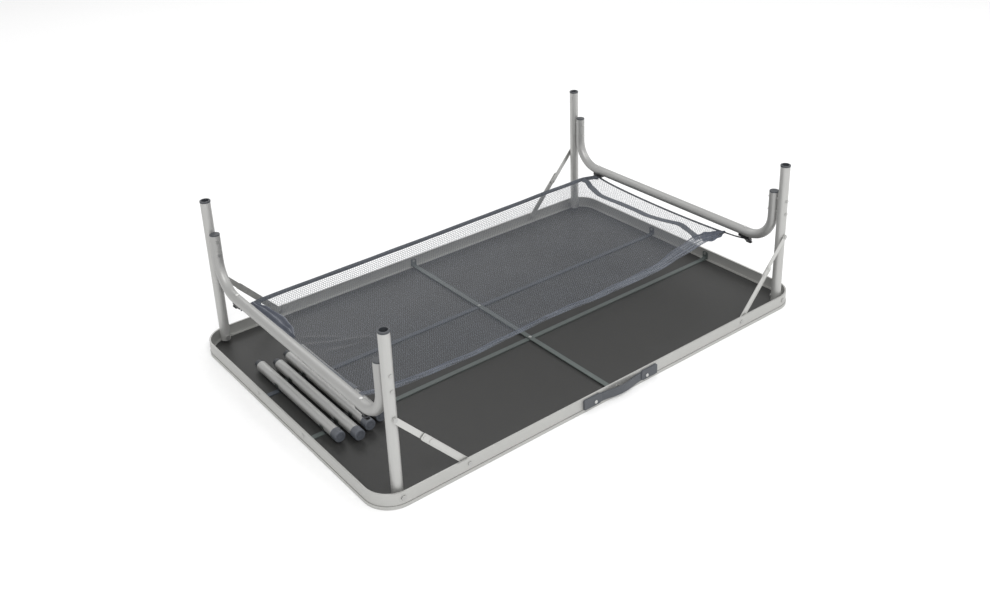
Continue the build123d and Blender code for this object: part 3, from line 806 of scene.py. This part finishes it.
def make_knot(side_name, side, place_name, sy):
    """The overhand knot that closes a loop, drawn as a trefoil."""
    middle = Vector((side * HOOK_X, sy * (HOOK_REACH + KNOT_FROM_CORD_END), CORD_Z))
    points = []
    for i in range(KNOT_POINTS):
        t = 2 * math.pi * i / KNOT_POINTS
        x = math.sin(t) + 2 * math.sin(2 * t)
        y = -math.sin(3 * t) * 1.2
        z = math.cos(t) - 2 * math.cos(2 * t)
        points.append(middle + Vector((x, y, z)) * KNOT_SIZE)
    name = f"{side_name}_{place_name}_cord_knot"
    knot = new_curve(name, points, CORD_R * KNOT_CORD_SHARE, MATERIALS["elastic_cord"], True)
    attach(knot, side_name + "_leg_frame")
    return knot


# Where the cord's control points stand between its two ends: y in millimetres.
CORD_STATIONS = (-250, -225, -180, -110, -35, 35, 110, 180, 225, 250)


def make_cord(side_name, side):
    """The elastic cord from knot to knot, bowed inwards by the pull of the net."""
    points = [Vector((side * HOOK_X, -HOOK_REACH, CORD_Z))]
    for y in CORD_STATIONS:
        x, z = end_line(side, y * MM)
        points.append(Vector((side * x, y * MM, z)))
    points.append(Vector((side * HOOK_X, HOOK_REACH, CORD_Z)))
    cord = new_curve(side_name + "_elastic_cord", points, CORD_R, MATERIALS["elastic_cord"])
    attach(cord, side_name + "_net")
    return cord, points[0]


# Each bunch: name, start, end, width in millimetres, profile, ruffles, seed.
BUNCHES = {
    "left": ("left_end_bunch", (-518, 257, 144), (-511, 72, 135), 54,
             [(0.0, 0.22), (0.25, 0.75), (0.5, 1.0), (0.75, 0.7), (1.0, 0.1)], 3.0, 2.0),
    "right": ("right_corner_bunch", (545, -203, 139), (484, -176, 131), 50,
              [(0.0, 0.12), (0.3, 0.62), (0.75, 1.0), (1.0, 0.7)], 3.0, 5.0),
}


def make_gather(side_name, side):
    """The ruffled mesh beside the left end's cord, or the drawn-in near corner of the right half."""
    gathered = [settle(make_bunch(*BUNCHES[side_name]), side_name)]
    if side_name == "right":
        gathered.append(settle(make_corner_cord(side_name, side), side_name))
    return gathered


def make_net_side(side_name, side):
    """One half of the net: the mesh sheet with everything that is sewn to it."""
    net = settle(make_net(side_name, side), side_name)
    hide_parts(side_name + "_net_mesh")
    far = settle(make_far_hem(side_name, side), side_name)
    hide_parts(side_name + "_net_hems")
    near = settle(make_near_hem(side_name, side), side_name)
    fold = settle(make_near_fold(side_name, side), side_name)
    seam = settle(make_seam(side_name, side), side_name)
    end = settle(make_end_hem(side_name, side), side_name, False)
    trims = [far, near, fold, seam, end] + make_gather(side_name, side)


def make_cord_side(side_name, side):
    """One elastic cord, with the loops and knots that hold it on its leg frame's hooks."""
    for place_name, sy in (("near", -1), ("far", 1)):
        make_loop(side_name, side, place_name, sy)
        make_knot(side_name, side, place_name, sy)
    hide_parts(side_name + "_net_cord")
    cord, start = make_cord(side_name, side)


# ---------------------------------------------------------------- floor

FLOOR_HALF = 9.0
FLOOR_DROP = -0.4 * MM


def make_floor():
    """A plain pale floor, just under the table."""
    material, tree, shader = surface("floor", Roughness=0.9, Specular_IOR_Level=0.1)
    grain = cloud(tree, place(tree), scale=60.0, detail=4.0)
    wire(tree, shader, Base_Color=shades(tree, grain, (0.90, 0.90, 0.90), (0.93, 0.93, 0.93)))
    mesh = bpy.data.meshes.new("floor")
    corners = [(x * FLOOR_HALF, y * FLOOR_HALF, FLOOR_DROP) for x, y in ((-1, -1), (1, -1), (1, 1), (-1, 1))]
    mesh.from_pydata(corners, [], [(0, 1, 2, 3)])
    mesh.materials.append(material)
    floor = bpy.data.objects.new("floor", mesh)
    bpy.context.scene.collection.objects.link(floor)


make_camera()
make_studio()
for side_name, side in SIDES:
    make_cord_side(side_name, side)
dress_cad()
for side_name, side in SIDES:
    make_net_side(side_name, side)
make_floor()
